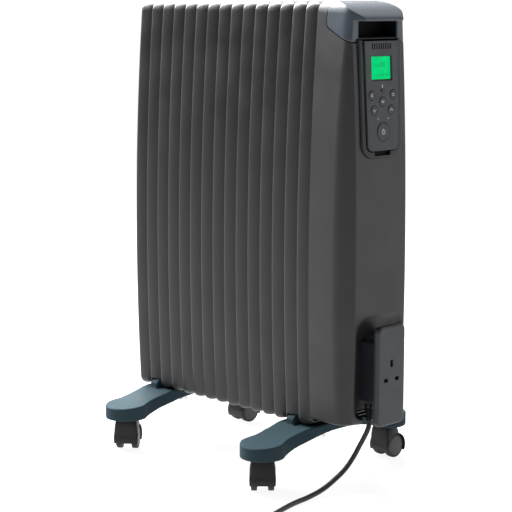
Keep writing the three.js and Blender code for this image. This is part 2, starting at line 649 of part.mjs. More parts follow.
const CASTORS = [
  { name: 'front_left', x: FOOT_X[0], y: -PAD_Y, swing: 40 },
  { name: 'front_right', x: FOOT_X[1], y: -PAD_Y, swing: 46 },
  { name: 'rear_left', x: FOOT_X[0], y: PAD_Y, swing: 180 },
  { name: 'rear_right', x: FOOT_X[1], y: PAD_Y, swing: 0 },
];
for (const { name, x, y, swing } of CASTORS) {
  const place = (solid) => solid.rotate([0, 0, swing]).translate([x, y, 0]);
  addNode(`castor_hood_${name}`, place(makeHood()), BLACK_PLASTIC);
  addNode(`castor_wheel_a_${name}`, place(makeWheel(-1)), BLACK_PLASTIC);
  addNode(`castor_wheel_b_${name}`, place(makeWheel(1)), BLACK_PLASTIC);
}

// ---- mains lead ---------------------------------------------------------
// Tapered strain relief from the pocket floor, then the lead down to the floor.
const glandStart = new THREE.Vector3(199.5, -13, 122);
const glandEnd = new THREE.Vector3(203.2, -15.8, 98);
const glandDirection = glandEnd.clone().sub(glandStart).normalize();
const glandTurn = new THREE.Quaternion().setFromUnitVectors(new THREE.Vector3(0, 1, 0), glandDirection);
const glandLength = glandEnd.distanceTo(glandStart);
const glandProfile = [[0, 0], [6.2, 0], [6.2, 6], [4.4, glandLength], [0, glandLength]];
const glandGeometry = new THREE.LatheGeometry(glandProfile.map(([r, h]) => new THREE.Vector2(r, h)), 10);
glandGeometry.applyQuaternion(glandTurn);
glandGeometry.translate(glandStart.x, glandStart.y, glandStart.z);
addNode('cord_gland', toSolid(glandGeometry), BLACK_PLASTIC);

const CORD_ROUTE = [
  [203.6, -17.8, 89], [200, -20.5, 78], [193.5, -24.5, 62.5], [188, -31.5, 46], [184, -43, 31.5],
  [180, -58, 20], [177.5, -77, 10.5], [177, -100, 5.4], [180.5, -140, 3.6], [190, -176, 3.6],
  [200, -208, 3.6], [210, -237, 3.6], [219.5, -262, 3.6],
];
const cordStart = glandEnd.clone().addScaledVector(glandDirection, GAP);
const cordSecond = glandEnd.clone().addScaledVector(glandDirection, 3);
const cordCurve = new THREE.CatmullRomCurve3([cordSecond, ...CORD_ROUTE.map((p) => new THREE.Vector3(...p))]);
addNode('power_cord', sweep([cordStart, ...cordCurve.getSpacedPoints(26)], CORD_R, 8), CORD_BLACK);

// Unused length wound in a flat coil on the floor, with a tie round one side.
const COIL = [271, -284];
const COIL_IN = 27.4;
const COIL_OUT = 48.6;
const COIL_LOW = 1.7;
const COIL_HIGH = 15.4;
const coilProfile = [
  [COIL_IN, COIL_LOW + 3], [COIL_IN + 3, COIL_LOW], [COIL_OUT - 3, COIL_LOW], [COIL_OUT, COIL_LOW + 3],
  [COIL_OUT, COIL_HIGH - 3], [COIL_OUT - 3, COIL_HIGH], [COIL_IN + 3, COIL_HIGH], [COIL_IN, COIL_HIGH - 3],
  [COIL_IN, COIL_LOW + 3],
];
addNode('cord_coil', turned(coilProfile, 18, 'z', [COIL[0], COIL[1], 0]), CORD_BLACK);

const tieX = COIL[0];
const tieFront = COIL[1] - COIL_OUT;
const tieBack = COIL[1] - COIL_IN;
const tieOuter = box(tieX - 4, tieX + 4, tieFront - 1.8, tieBack + 2.4, 0.2, COIL_HIGH + 1.6);
const tieInner = box(tieX - 5, tieX + 5, tieFront - 0.5, tieBack + 1.1, COIL_LOW - 0.4, COIL_HIGH + 0.4);
addNode('coil_tie', tieOuter.subtract(tieInner), BLACK_PLASTIC);

// Three-pin mains plug lying on its back beside the coil, pins up.
const PLUG = [COIL[0] + 74, COIL[1] + 38.1];
const PLUG_TURN = 150;
const plugOutline = [...arc(-18, -17, 8, 180, 270, 3), ...arc(18, -17, 8, 270, 360, 3),
  ...arc(15, 18, 8, 0, 90, 3), ...arc(-15, 18, 8, 90, 180, 3)];
const plugPlace = (solid) => solid.rotate([0, 0, PLUG_TURN]).translate([PLUG[0], PLUG[1], 0]);
const plugPins = [
  { name: 'plug_pin_earth', x: 0, y: -11, w: 4, h: 8, long: 22.7 },
  { name: 'plug_pin_live', x: 11.1, y: 11.2, w: 6.4, h: 4, long: 17.7 },
  { name: 'plug_pin_neutral', x: -11.1, y: 11.2, w: 6.4, h: 4, long: 17.7 },
];
const plugLevels = [[0.1, 3], [3, 0], [17, 0], [20, 1.5]];
let plugBody = loft(plugLevels.map(([z, inset]) => plugOutline
  .map(([x, y]) => [x * (1 - inset / 26), y * (1 - inset / 25), z])), [0, 1]);
plugBody = plugBody.add(bar('y', 5, 20, 34, [0, 8], 10));
for (const { x, y, w, h } of plugPins) {
  const across = w / 2 + GAP;
  const along = h / 2 + GAP;
  plugBody = plugBody.subtract(box(x - across, x + across, y - along, y + along, 10, 21));
}
addNode('plug_body', plugPlace(plugBody), BLACK_PLASTIC);
for (const { name, x, y, w, h, long } of plugPins) {
  addNode(name, plugPlace(box(x - w / 2, x + w / 2, y - h / 2, y + h / 2, 10.3, 20 + long)), BRASS);
}

export default group;
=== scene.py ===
"""Looks of a portable column radiator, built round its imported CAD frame."""
import math

import bmesh
import bpy
from mathutils import Matrix, Vector


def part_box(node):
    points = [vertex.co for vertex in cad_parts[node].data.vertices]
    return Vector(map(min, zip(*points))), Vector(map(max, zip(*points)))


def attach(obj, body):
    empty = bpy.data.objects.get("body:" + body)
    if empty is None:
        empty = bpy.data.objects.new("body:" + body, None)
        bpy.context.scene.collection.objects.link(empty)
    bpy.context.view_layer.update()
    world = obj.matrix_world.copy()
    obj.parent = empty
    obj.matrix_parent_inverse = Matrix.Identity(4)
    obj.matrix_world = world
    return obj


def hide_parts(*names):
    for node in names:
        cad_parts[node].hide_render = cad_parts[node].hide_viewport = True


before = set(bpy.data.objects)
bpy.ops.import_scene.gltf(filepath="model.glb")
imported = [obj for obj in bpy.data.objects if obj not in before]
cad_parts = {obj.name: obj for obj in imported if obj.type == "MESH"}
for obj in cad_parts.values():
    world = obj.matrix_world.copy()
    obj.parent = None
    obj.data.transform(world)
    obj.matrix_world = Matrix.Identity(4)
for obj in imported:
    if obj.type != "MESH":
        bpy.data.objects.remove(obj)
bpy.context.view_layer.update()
scene = bpy.context.scene
MM = 0.001

# ---- dimensions shared with the CAD, in millimetres ----------------------
FIN_COUNT, FIN_PITCH, FIN_START = 15, 24.4, -229.0
COVER_START = FIN_START + FIN_COUNT * FIN_PITCH
BODY_BOTTOM, BODY_TOP = 84.0, 666.0
CHIMNEY_HALF = 24.0
COVER_WALL = 2.2
CAP_LIP_X = 208.5
RECESS_HALF, RECESS_FLOOR, LIP_UNDER = 38.0, 617.5, 640.0
PANEL_ORIGIN, PANEL_TILT = Vector((201.9, 0, 535)), math.radians(2.6)
FASCIA_FACE = 4.6
FOOT_X = {"left": -186.2, "right": 106.6}
PAD_Y, PAD_R, PAD_TOP, PAD_UNDER = 125.0, 31.5, 70.0, 50.0
WHEEL_R, CASTOR_TRAIL, HOOD_R, HOOD_HALF = 17.5, 8.0, 19.6, 18.3
COIL_CENTRE, COIL_RADII, COIL_FLOOR = (271.0, -284.0), (45.0, 38.0, 31.0), 3.6
CORD_R = 3.5
# The body's half depth and its control end both bulge: a largest value, less a rate times the height squared
# from a centre height.
BULGE_DEPTH, BULGE_RATE, BULGE_CENTRE = 68.4, 1.24e-4, 300
END_MAX, END_RATE, END_CENTRE = 206.7, 1.0e-4, 310
CREASE_HALF, FILLET_TANGENT = 50.5, 9.1
FIN_LOW_RADIUS, FIN_HIGH_RADIUS = 13, 15
# The plug lies beside the coil, turned by this many degrees; its live and neutral pins, and their parking
# slots, are this far to each side of the middle.
PLUG_OFFSET, PLUG_TURN = (74, 38.1), 150
PIN_HALF_SPACING = 11.1
WINDER_HALF, WINDER_LOW, WINDER_HIGH = 27.5, 95, 233


def depth_at(z):
    return BULGE_DEPTH - BULGE_RATE * (z - BULGE_CENTRE) ** 2


def end_at(z):
    return END_MAX - END_RATE * (z - END_CENTRE) ** 2


# ---- camera ---------------------------------------------------------------
AZIMUTH, PITCH = math.radians(46.15), math.radians(9.17)
camera = bpy.data.objects.new("camera", bpy.data.cameras.new("camera"))
camera.data.sensor_width = 36
camera.data.lens = 111.5
camera.data.clip_end = 60
camera.location = (1.6146, -1.5862, 0.6672)
looking = Vector((-math.sin(AZIMUTH) * math.cos(PITCH), math.cos(AZIMUTH) * math.cos(PITCH),
                  -math.sin(PITCH)))
camera.rotation_euler = looking.to_track_quat("-Z", "Y").to_euler()
scene.collection.objects.link(camera)
scene.camera = camera
scene.view_settings.view_transform = "Standard"


# ---- materials --------------------------------------------------------------
def material(name, colour, rough, metallic=0.0, grain=1200, bump=0.12, blotch=9, spread=0.12,
             edge=0.25, specular=0.5, coat=0.0, streak=None, rough_swing=0.08):
    """Principled material: blotched colour, painted highlights on convex edges, uneven gloss and a fine
    moulded or sprayed grain.
    """
    made = bpy.data.materials.new(name)
    made.use_nodes = True
    nodes, links = made.node_tree.nodes, made.node_tree.links
    shader = nodes["Principled BSDF"]
    shader.inputs["Metallic"].default_value = metallic
    shader.inputs["Specular IOR Level"].default_value = specular
    shader.inputs["Coat Weight"].default_value = coat
    shader.inputs["Coat Roughness"].default_value = 0.25
    place = nodes.new("ShaderNodeTexCoord")

    def noise(scale, detail, stretch=None):
        texture = nodes.new("ShaderNodeTexNoise")
        texture.inputs["Scale"].default_value = scale
        texture.inputs["Detail"].default_value = detail
        texture.inputs["Roughness"].default_value = 0.55
        if stretch:
            mapping = nodes.new("ShaderNodeMapping")
            mapping.inputs["Scale"].default_value = stretch
            links.new(place.outputs["Object"], mapping.inputs["Vector"])
            links.new(mapping.outputs["Vector"], texture.inputs["Vector"])
        else:
            links.new(place.outputs["Object"], texture.inputs["Vector"])
        return texture.outputs["Fac"]

    def ramp(source, low, high, at=(0.3, 0.7)):
        colours = nodes.new("ShaderNodeValToRGB")
        colours.color_ramp.elements[0].position, colours.color_ramp.elements[1].position = at
        colours.color_ramp.elements[0].color = (*low, 1)
        colours.color_ramp.elements[1].color = (*high, 1)
        links.new(source, colours.inputs["Fac"])
        return colours.outputs["Color"]

    def swing(source, low, high):
        values = nodes.new("ShaderNodeMapRange")
        values.inputs["From Min"].default_value = 0.3
        values.inputs["From Max"].default_value = 0.7
        values.inputs["To Min"].default_value = low
        values.inputs["To Max"].default_value = high
        links.new(source, values.inputs["Value"])
        return values.outputs["Result"]

    low = [c * (1 - spread) for c in colour]
    high = [c * (1 + spread) for c in colour]
    base = ramp(noise(blotch, 4, streak), low, high)
    # Painted highlight: convex edges, picked out by pointiness, are mixed toward a lighter copy of the
    # colour; edge sets how far.
    geometry = nodes.new("ShaderNodeNewGeometry")
    painted_edge_highlight = nodes.new("ShaderNodeMix")
    painted_edge_highlight.data_type = "RGBA"
    painted_edge_highlight.inputs["B"].default_value = (*[min(1, c * 1.5 + 0.02) for c in colour], 1)
    edges = nodes.new("ShaderNodeMapRange")
    edges.inputs["From Min"].default_value = 0.53
    edges.inputs["From Max"].default_value = 0.62
    edges.inputs["To Max"].default_value = edge
    links.new(geometry.outputs["Pointiness"], edges.inputs["Value"])
    links.new(edges.outputs["Result"], painted_edge_highlight.inputs["Factor"])
    links.new(base, painted_edge_highlight.inputs["A"])
    links.new(painted_edge_highlight.outputs["Result"], shader.inputs["Base Color"])
    links.new(swing(noise(blotch * 4, 5), rough - rough_swing, rough + rough_swing),
              shader.inputs["Roughness"])
    relief = nodes.new("ShaderNodeBump")
    relief.inputs["Strength"].default_value = bump
    relief.inputs["Distance"].default_value = 0.0004
    links.new(noise(grain, 3), relief.inputs["Height"])
    links.new(relief.outputs["Normal"], shader.inputs["Normal"])
    return made


FIN_PAINT = material("fin_paint", (0.026, 0.026, 0.027), 0.38, grain=900, bump=0.16, blotch=6, spread=0.07,
                     edge=0.3)
COVER_PAINT = material("cover_paint", (0.0215, 0.0215, 0.022), 0.44, grain=1100, bump=0.14, blotch=5,
                       spread=0.07)
CAP_PLASTIC = material("cap_plastic", (0.056, 0.073, 0.092), 0.36, grain=1600, bump=0.1, blotch=8)
SURROUND_PLASTIC = material("surround_plastic", (0.015, 0.019, 0.023), 0.42, grain=1600, bump=0.1, blotch=8,
                            specular=0.35)
FOOT_PLASTIC = material("foot_plastic", (0.034, 0.058, 0.07), 0.68, grain=1500, bump=0.1, blotch=12,
                        spread=0.15,
                        specular=0.045)
WINDER_PLASTIC = material("winder_plastic", (0.024, 0.029, 0.036), 0.42, grain=1500, bump=0.12, blotch=14)
FASCIA_PLASTIC = material("fascia_plastic", (0.024, 0.028, 0.035), 0.45, grain=2200, bump=0.1, blotch=18)
BUTTON_PLASTIC = material("button_plastic", (0.024, 0.027, 0.034), 0.42, grain=2600, bump=0.12, blotch=30)
BLACK_PLASTIC = material("black_plastic", (0.014, 0.014, 0.015), 0.4, grain=1500, bump=0.12, blotch=20,
                         edge=0.35,
                         specular=0.28)
# Painted shade: a near-black finish for sheets set where the hand recess and the slot under the fascia fall
# into shade.
PAINTED_SHADE = material("painted_shade_black", (0.006, 0.006, 0.007), 0.7, grain=1500, bump=0.12, blotch=20, specular=0.15)
TREAD = material("castor_tread", (0.018, 0.018, 0.018), 0.55, grain=1900, bump=0.25, blotch=40, spread=0.2,
                 specular=0.3)
HUB = material("castor_hub", (0.03, 0.028, 0.027), 0.45, grain=1700, bump=0.15, blotch=35)
CORD = material("cord_sheath", (0.02, 0.02, 0.021), 0.5, grain=2400, bump=0.18, blotch=25, spread=0.15)
STEEL = material("bare_steel", (0.42, 0.42, 0.43), 0.38, metallic=1, grain=500, bump=0.06, blotch=20,
                 streak=(1, 1, 9))
BRIGHT = material("bright_steel", (0.55, 0.55, 0.55), 0.28, metallic=1, grain=700, bump=0.06, blotch=30)
BRASS = material("brass_pin", (0.66, 0.47, 0.2), 0.26, metallic=1, grain=900, bump=0.05, blotch=60)
BOARD = material("board", (0.012, 0.11, 0.035), 0.4, grain=700, bump=0.1, blotch=90, spread=0.3)
LENS = material("signal_lens", (0.022, 0.001, 0.003), 0.2, grain=300, bump=0.02, blotch=200, coat=0.2,
                specular=0.3)
INK = material("icon_ink", (0.56, 0.58, 0.6), 0.6, grain=3000, bump=0.1, blotch=300)


def lit_screen(name, colour, strength, shade):
    """Backlit display: an even glow with a soft uneven patch of liquid crystal in front."""
    made = material(name, [c * 0.04 for c in colour], 0.25, grain=2000, bump=0.03, blotch=70, spread=0.1,
                    specular=0.02)
    nodes, links = made.node_tree.nodes, made.node_tree.links
    shader = nodes["Principled BSDF"]
    place = nodes.new("ShaderNodeTexCoord")
    patch = nodes.new("ShaderNodeTexNoise")
    patch.inputs["Scale"].default_value = 75
    patch.inputs["Detail"].default_value = 1
    glow = nodes.new("ShaderNodeValToRGB")
    glow.color_ramp.elements[0].position = 0.35
    glow.color_ramp.elements[1].position = 0.6
    glow.color_ramp.elements[0].color = (*[c * shade for c in colour], 1)
    glow.color_ramp.elements[1].color = (*colour, 1)
    links.new(place.outputs["Object"], patch.inputs["Vector"])
    links.new(patch.outputs["Fac"], glow.inputs["Fac"])
    links.new(glow.outputs["Color"], shader.inputs["Emission Color"])
    shader.inputs["Emission Strength"].default_value = strength
    return made


SCREEN = lit_screen("screen", (0.0008, 0.64, 0.18), 1.08, 0.88)
SEGMENT = lit_screen("screen_segment", (0.001, 0.45, 0.14), 1.08, 0.9)


# ---- mesh tools ---------------------------------------------------------------
def arc(cx, cy, radius, start, stop, steps):
    turn = [math.radians(start + (stop - start) * i / steps) for i in range(steps + 1)]
    return [(cx + radius * math.cos(t), cy + radius * math.sin(t)) for t in turn]


def bend(a, b, c, steps):
    """Quadratic curve from a to c that leaves and arrives along the lines to b."""
    out = []
    for i in range(steps + 1):
        t = i / steps
        out.append(tuple((1 - t) ** 2 * p + 2 * t * (1 - t) * q + t * t * r for p, q, r in zip(a, b, c)))
    return out


def round_rect(a0, a1, b0, b1, radius, steps=6):
    return (arc(a1 - radius, b1 - radius, radius, 0, 90, steps)
            + arc(a0 + radius, b1 - radius, radius, 90, 180, steps)
            + arc(a0 + radius, b0 + radius, radius, 180, 270, steps)
            + arc(a1 - radius, b0 + radius, radius, 270, 360, steps))


def rounded(outline, times=2):
    """Corners of a closed outline cut again and again, so that they turn smoothly."""
    for _ in range(times):
        cut = []
        for i, p in enumerate(outline):
            q = outline[(i + 1) % len(outline)]
            cut.append(tuple(a * 0.8 + b * 0.2 for a, b in zip(p, q)))
            cut.append(tuple(a * 0.2 + b * 0.8 for a, b in zip(p, q)))
        outline = cut
    return outline


def solid(name, rings, look=None, place=None, closed=True):
    """Closed skin over rings of equal length, in millimetres, as an object in metres."""
    size = len(rings[0])
    points = [Vector(p) for ring in rings for p in ring]
    if place:
        points = [place @ p for p in points]
    faces = []
    for r in range(len(rings) - 1):
        for i in range(size):
            j = (i + 1) % size
            faces.append((r * size + i, r * size + j, (r + 1) * size + j, (r + 1) * size + i))
    if closed:
        last = (len(rings) - 1) * size
        faces += [tuple(reversed(range(size))), tuple(last + i for i in range(size))]
    mesh = bpy.data.meshes.new(name)
    mesh.from_pydata([p * MM for p in points], [], faces)
    work = bmesh.new()
    work.from_mesh(mesh)
    bmesh.ops.remove_doubles(work, verts=work.verts, dist=1e-6)
    bmesh.ops.dissolve_degenerate(work, dist=1e-7, edges=work.edges)
    bmesh.ops.recalc_face_normals(work, faces=work.faces)
    work.to_mesh(mesh)
    work.free()
    piece = bpy.data.objects.new(name, mesh)
    scene.collection.objects.link(piece)
    if look:
        mesh.materials.append(look)
    return piece


def prism(name, axis, outline, low, high, look=None, place=None):
    put = {"x": lambda p, s: (s, p[0], p[1]), "y": lambda p, s: (p[0], s, p[1]),
           "z": lambda p, s: (p[0], p[1], s)}[axis]
    return solid(name, [[put(p, s) for p in outline] for s in (low, high)], look, place)


def block(x0, x1, y0, y1, z0, z1, place=None):
    return prism("block", "z", [(x0, y0), (x1, y0), (x1, y1), (x0, y1)], z0, z1, None, place)


def turned(name, profile, segments, look=None, place=None):
    """Body of revolution about local Z from (radius, height) pairs."""
    rings = []
    for i in range(segments):
        t = 2 * math.pi * i / segments
        rings.append([(r * math.cos(t), r * math.sin(t), h) for r, h in profile])
    return solid(name, rings + [rings[0]], look, place, closed=False)


def flatten(piece):
    """Turns a piece's modifiers into its mesh."""
    shaped = piece.evaluated_get(bpy.context.evaluated_depsgraph_get())
    mesh = bpy.data.meshes.new_from_object(shaped)
    piece.modifiers.clear()
    piece.data = mesh
    return piece


def joined(piece, others, how):
    for other in others:
        step = piece.modifiers.new("join", "BOOLEAN")
        step.operation, step.solver, step.object = how, "EXACT", other
    flatten(piece)
    for other in others:
        bpy.data.objects.remove(other)
    return piece


def cut(piece, *others):
    return joined(piece, others, "DIFFERENCE")


def add(piece, *others):
    return joined(piece, others, "UNION")


def common(piece, *others):
    return joined(piece, others, "INTERSECT")


def soften(piece, voxel, passes, keep=None):
    """Re-skins a piece evenly and relaxes it, which rounds its edges like a moulding's."""
    step = piece.modifiers.new("skin", "REMESH")
    step.mode, step.voxel_size = "VOXEL", voxel * MM
    step = piece.modifiers.new("relax", "SMOOTH")
    step.factor, step.iterations = 0.5, passes
    if keep:
        step = piece.modifiers.new("thin", "DECIMATE")
        step.ratio = keep
    return flatten(piece)


def bevelled(piece, width, segments=3, angle=40):
    step = piece.modifiers.new("edge", "BEVEL")
    step.width, step.segments, step.limit_method = width * MM, segments, "ANGLE"
    step.angle_limit = math.radians(angle)
    step.use_clamp_overlap = True
    return flatten(piece)


def ready(piece, body, replaces=(), angle=38, weigh=False):
    """Smooth shading with crisp corners, then the piece is tied to its body."""
    if piece.type == "MESH":
        piece.data.shade_smooth()
        piece.data.set_sharp_from_angle(angle=math.radians(angle))
        if weigh:
            step = piece.modifiers.new("even_shading", "WEIGHTED_NORMAL")
            step.keep_sharp = True
            flatten(piece)
    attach(piece, body)
    if replaces:
        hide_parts(*replaces)
    return piece


ON_PANEL = Matrix.Translation(PANEL_ORIGIN) @ Matrix.Rotation(-PANEL_TILT, 4, "Y")
UP_TO_X = Matrix.Rotation(math.pi / 2, 4, "Y")


# ---- mains lead ---------------------------------------------------------------
GLAND_START, GLAND_END = Vector((199.5, -13, 122)), Vector((203.2, -15.8, 98))
gland_way = (GLAND_END - GLAND_START).normalized()
ROUTE = [(203.6, -17.8, 89), (200, -20.5, 78), (193.5, -24.5, 62.5), (188, -31.5, 46), (184, -43, 31.5),
         (180, -58, 20), (177.5, -77, 10.5), (177, -100, 5.4), (180.5, -140, 3.6), (190, -176, 3.6),
         (200, -208, 3.6), (210, -237, 3.6), (219.5, -262, 3.6)]
COIL_SLOTS = [(0, 0), (1, 0), (2, 0), (2, 1), (1, 1), (0, 1)]
COIL_ENTRY, COIL_EXIT, COIL_STEP = 180, 2130, 15
CHANGE_FIRST, CHANGE_EVERY, CHANGE_WIDTH = 455, 330, 90
TIE_ANGLE = 270


def coil_point(angle):
    """A turn's centre at that angle: radius and height step from slot to slot, each step a little earlier."""
    radius, height = COIL_RADII[0], 0.0
    for k in range(1, len(COIL_SLOTS)):
        middle = CHANGE_FIRST + (k - 1) * CHANGE_EVERY
        t = min(1, max(0, (angle - middle) / CHANGE_WIDTH + 0.5))
        t = t * t * (3 - 2 * t)
        before, after = COIL_SLOTS[k - 1], COIL_SLOTS[k]
        radius += t * (COIL_RADII[after[0]] - COIL_RADII[before[0]])
        height += t * (after[1] - before[1]) * 2 * CORD_R
    from_tie = (angle - TIE_ANGLE + 180) % 360 - 180
    lift = 1.3 * math.exp(-((from_tie / 22) ** 2))
    turn = math.radians(angle)
    return Vector((COIL_CENTRE[0] + radius * math.cos(turn), COIL_CENTRE[1] + radius * math.sin(turn),
                   COIL_FLOOR + height + lift))


lead = [GLAND_END + gland_way * 0.3, GLAND_END + gland_way * 3] + [Vector(p) for p in ROUTE]
lead += [coil_point(a) for a in range(COIL_ENTRY, COIL_EXIT + 1, COIL_STEP)]
leaving = Vector((math.cos(math.radians(COIL_EXIT + 90)), math.sin(math.radians(COIL_EXIT + 90)), 0))
for along, drop in ((9, 0), (15, 0.25), (22, 1.1), (29, 2.1), (35, 2.6), (41, 2.6)):
    lead.append(coil_point(COIL_EXIT) + leaving * along - Vector((0, 0, drop)))

curve = bpy.data.curves.new("mains_lead", "CURVE")
curve.dimensions = "3D"
curve.bevel_depth = CORD_R * MM
curve.bevel_resolution = 4
curve.use_fill_caps = True
curve.resolution_u = 6
line = curve.splines.new("BEZIER")
line.bezier_points.add(len(lead) - 1)
for knot, point in zip(line.bezier_points, lead):
    knot.co = point * MM
    knot.handle_left_type = knot.handle_right_type = "AUTO"
curve.materials.append(CORD)
mains_lead = bpy.data.objects.new("mains_lead", curve)
scene.collection.objects.link(mains_lead)

# Plug: a moulded shell with a waist, a seam, a cover screw and a ribbed entry.
PLUG_PLACE = (Matrix.Translation((COIL_CENTRE[0] + PLUG_OFFSET[0], COIL_CENTRE[1] + PLUG_OFFSET[1], 0))
              @ Matrix.Rotation(math.radians(PLUG_TURN), 4, "Z"))
plug_outline = rounded(round_rect(-25, 25, -24, 25, 9, 4), 1)
plug_rings = []
for height, grow in ((0.1, 0.86), (0.5, 0.9), (1.6, 0.945), (3.4, 0.975), (8, 1.0), (9.6, 1.0), (9.8, 0.985),
                     (10.2, 0.985), (10.4, 1.0), (14, 0.99), (17, 0.965), (18.8, 0.93), (19.7, 0.89),
                     (20, 0.84)):
    plug_rings.append([(x * grow * (1 - 0.004 * max(0, y)), y * grow, height) for x, y in plug_outline])
plug = solid("plug_shell", plug_rings, BLACK_PLASTIC, PLUG_PLACE)
screw_seat = turned("seat", [(0, 18.6), (3.4, 18.6), (3.6, 21), (0, 21)], 24, None,
                    PLUG_PLACE @ Matrix.Translation((0, 4, 0)))
cut(plug, screw_seat)
ready(plug, "heater", ["plug_body"])
boot_profile = [(0, 22), (5.6, 22), (5.6, 25)]
for i in range(4):
    boot_profile += [(5.4 - 0.28 * i, 25 + 2.1 * i), (4.2, 25.4 + 2.1 * i), (4.2, 26.4 + 2.1 * i),
                     (5.3 - 0.28 * i, 26.8 + 2.1 * i)]
boot_profile += [(4.3, 34.2), (3.6, 34.6), (0, 34.6)]
to_boot = Matrix.Translation((0, 0, 8)) @ Matrix.Rotation(-math.pi / 2, 4, "X")
boot = turned("plug_boot", boot_profile, 28, BLACK_PLASTIC, PLUG_PLACE @ to_boot)
ready(boot, "heater")
screw = turned("plug_screw", [(0, 18.2), (3.2, 18.2), (3.2, 19.5), (2.8, 19.9), (0, 19.9)], 24, BRIGHT,
               PLUG_PLACE @ Matrix.Translation((0, 4, 0)))
cut(screw, prism("slot", "z", round_rect(-2.6, 2.6, -0.4, 0.4, 0.3, 2), 19.1, 21, None,
                 PLUG_PLACE @ Matrix.Translation((0, 4, 0)) @ Matrix.Rotation(0.6, 4, "Z")))
ready(screw, "heater")
for node in ("plug_pin_earth", "plug_pin_live", "plug_pin_neutral"):
    earth = node.endswith("earth")
    x, y = {"plug_pin_earth": (0, -11), "plug_pin_live": (PIN_HALF_SPACING, 11.2),
            "plug_pin_neutral": (-PIN_HALF_SPACING, 11.2)}[node]
    w, d, tall = (2.0, 4.0, 42.7) if earth else (3.2, 2.0, 37.7)
    rings = []
    for height, inset in ((18.5, 0), (tall - 2.4, 0), (tall - 0.9, 0.25), (tall - 0.2, 0.75), (tall, 1.3)):
        rings.append([(a, b, height) for a, b in
                      round_rect(x - w + inset, x + w - inset, y - d + inset, y + d - inset, 0.5, 3)])
    pin = solid("blade_" + node[9:], rings, BRASS, PLUG_PLACE)
    ready(pin, "heater", [node])
    if not earth:
        sleeve = [[(a, b, height)
                   for a, b in round_rect(x - w - grow, x + w + grow, y - d - grow, y + d + grow, 0.6, 3)]
                  for height, grow in ((18.5, 0.12), (28.6, 0.12), (28.8, -0.1))]
        ready(solid("sleeve_" + node[9:], sleeve, BLACK_PLASTIC, PLUG_PLACE), "heater")

# Tie: a soft band with a buckle, drawn round one side of the coil.
tie_low, tie_high = (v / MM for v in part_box("coil_tie"))
tie_y, tie_z = (tie_low.y + tie_high.y) / 2, (tie_low.z + tie_high.z) / 2
tie_rings = []
for step, (y, z) in enumerate(round_rect(tie_low.y + 0.8, tie_high.y - 0.8, 0.85, tie_high.z - 0.6, 5.5, 6)):
    out = Vector((0, y - tie_y, z - tie_z)).normalized()
    middle = Vector((COIL_CENTRE[0], y, z))
    section = [(-4, -0.35), (-3.2, -0.5), (3.2, -0.5), (4, -0.35), (4, 0.35), (3.2, 0.5), (-3.2, 0.5),
               (-4, 0.35)]
    tie_rings.append([middle + Vector((a, 0, 0)) + out * b for a, b in section])
tie = solid("lead_tie", tie_rings + [tie_rings[0]], BLACK_PLASTIC, closed=False)
ready(tie, "heater", ["coil_tie"], 60)
buckle = prism("tie_buckle", "y", round_rect(COIL_CENTRE[0] - 5.4, COIL_CENTRE[0] + 5.4, 5, 11.5, 1.4, 4),
               tie_low.y - 1.1, tie_low.y + 1.6, BLACK_PLASTIC)
ready(bevelled(buckle, 0.5, 2), "heater")

ready(mains_lead, "heater", ["power_cord", "cord_coil"])

# Strain relief: a tapered boot with rings cut in it.
boot_length = (GLAND_END - GLAND_START).length
relief = [(0, 0), (6.2, 0), (6.2, 5.2), (5.9, 5.8)]
for i in range(5):
    at, r = 6.6 + 3.3 * i, 5.9 - 0.33 * i
    relief += [(r - 1.5, at), (r - 1.5, at + 1.2), (r - 0.1, at + 1.6), (r - 0.2, at + 3.0)]
relief += [(4.3, boot_length - 0.5), (3.9, boot_length), (0, boot_length)]
gland = turned("strain_relief", relief, 32, BLACK_PLASTIC,
               Matrix.Translation(GLAND_START) @ gland_way.to_track_quat("Z", "Y").to_matrix().to_4x4())
ready(gland, "heater", ["cord_gland"])


# ---- fins -----------------------------------------------------------------------
def fin_outline(x, inset):
    low, high = BODY_BOTTOM + FIN_LOW_RADIUS, BODY_TOP - FIN_HIGH_RADIUS
    side = arc(depth_at(low) - FIN_LOW_RADIUS, low, FIN_LOW_RADIUS - inset, -90, 0, 7)
    side += [(depth_at(z) - inset, z) for z in range(120, 640, 26)]
    side += arc(depth_at(high) - FIN_HIGH_RADIUS, high, FIN_HIGH_RADIUS - inset, 0, 90, 7)
    return [(x, y, z) for y, z in side + [(-y, z) for y, z in reversed(side)]]


FIN_PROFILE = [(0.9, 11.4), (0.55, 10.4), (0.1, 9.2), (0, 8.2), (0, 4.4), (0.25, 2.7), (0.9, 1.25),
               (1.8, 0.4), (2.9, 0.02),
               (5, 0.12), (8, 0.6), (11, 1.25), (14, 2.15), (17, 3.35), (19.5, 4.6), (21.4, 5.8), (22, 6.35),
               (22.1, 6.9), (21.8, 7.3), (19.3, 5.9), (14, 3.35), (8, 1.8), (4, 1.25), (2.6, 1.5), (1.7, 2.5),
               (1.25, 3.9), (1.2, 5), (1.2, 8.4), (1.35, 9.6), (1.8, 10.8), (2.1, 11.6)]
for number in range(FIN_COUNT):
    x = FIN_START + number * FIN_PITCH
    fin = solid(f"fin_panel_{number + 1:02d}", [fin_outline(x + dx, inset) for dx, inset in FIN_PROFILE],
                FIN_PAINT)
    cuts = [block(x + 2.4, x + 24, -CHIMNEY_HALF, CHIMNEY_HALF, z - 9, z + 9)
            for z in (BODY_BOTTOM, BODY_TOP)]
    for foot in FOOT_X.values():
        if x < foot - 14 and foot < x + FIN_PITCH:
            for side in (-1, 1):
                y0, y1 = sorted((side * 50, side * 80))
                cuts.append(block(foot - 15, foot + 1, y0, y1, BODY_BOTTOM - 1, 97.5))
    ready(cut(fin, *cuts), "heater", [f"fin_{number + 1:02d}"], 32)


